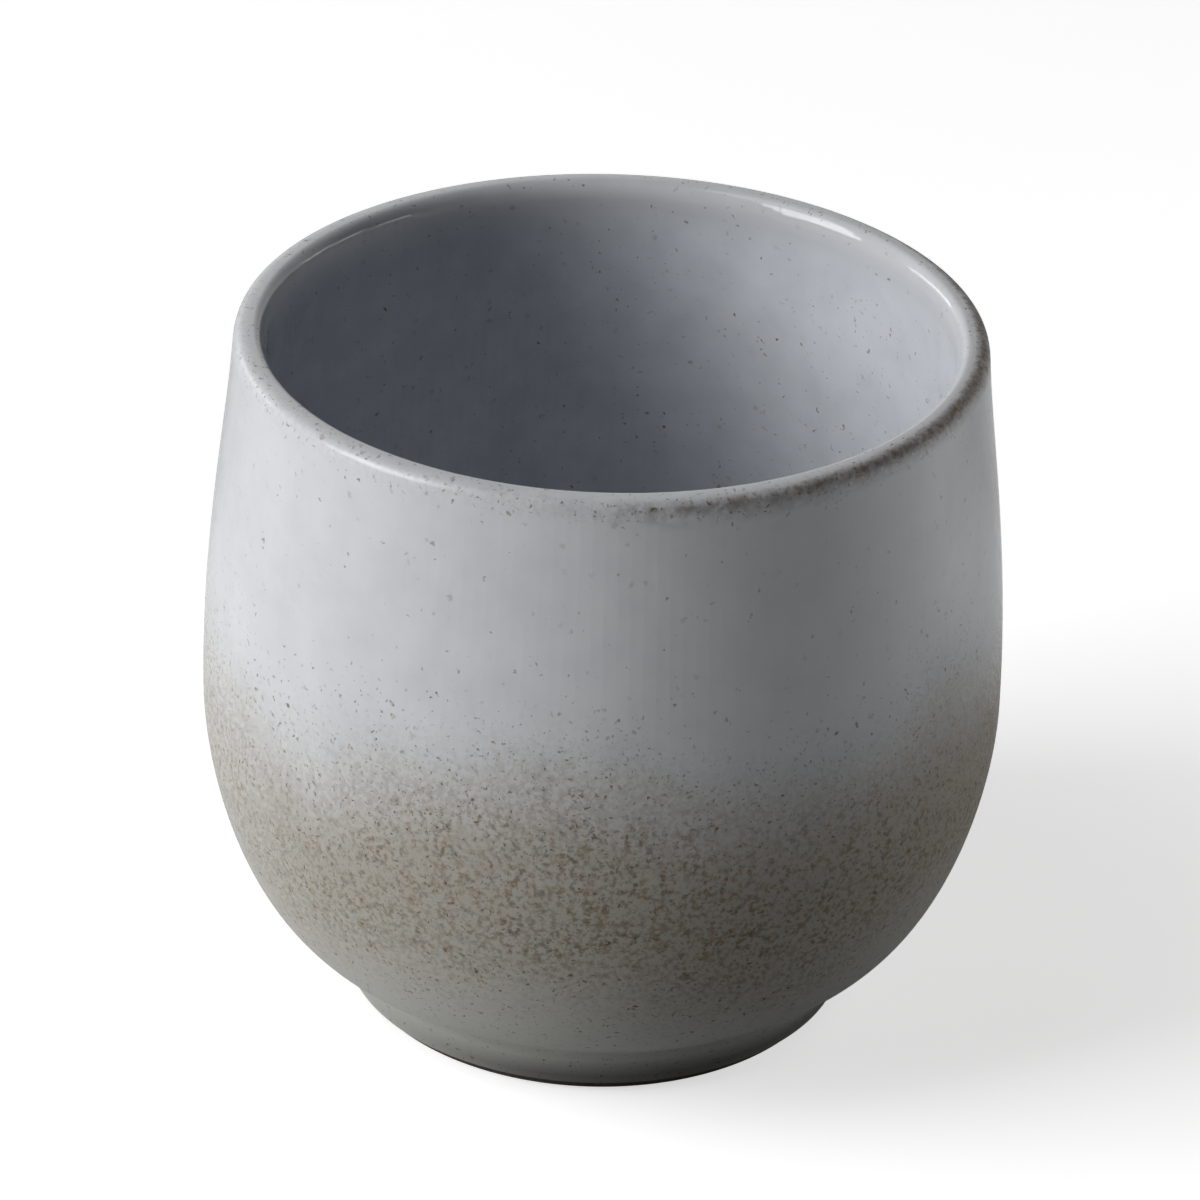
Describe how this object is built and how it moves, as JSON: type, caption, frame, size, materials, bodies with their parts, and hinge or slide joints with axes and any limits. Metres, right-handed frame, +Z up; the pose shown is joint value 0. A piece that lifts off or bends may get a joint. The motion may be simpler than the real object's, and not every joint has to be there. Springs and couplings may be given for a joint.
{
  "type": "espresso cup",
  "caption": "Handleless round-bellied espresso cup in glazed stoneware, pale above and sandy below, standing on a short foot ring.",
  "frame": {"origin": "centre of the bearing face under the foot ring", "axes": "+Z up along the axis the cup was turned about; X and Y are alike"},
  "size_m": [0.066, 0.066, 0.0599],
  "materials": {
    "stoneware_bowl": "bare fired stoneware under the glaze",
    "stoneware_foot": "bare fired stoneware, matte on the bearing face",
    "liner_glaze": "glossy pale blue-grey glaze with sparse specks",
    "upper_glaze": "glossy pale blue-grey glaze that breaks brown at the lip",
    "lower_glaze": "satin sandy olive glaze, densely speckled with rust brown",
    "base_glaze": "satin sandy olive glaze"
  },
  "bodies": {
    "root": {"clay_bowl": "stoneware_bowl", "foot_ring": "stoneware_foot", "liner_glaze": "liner_glaze", "upper_glaze": "upper_glaze", "lower_glaze": "lower_glaze", "base_glaze": "base_glaze"}
  },
  "joints": []
}
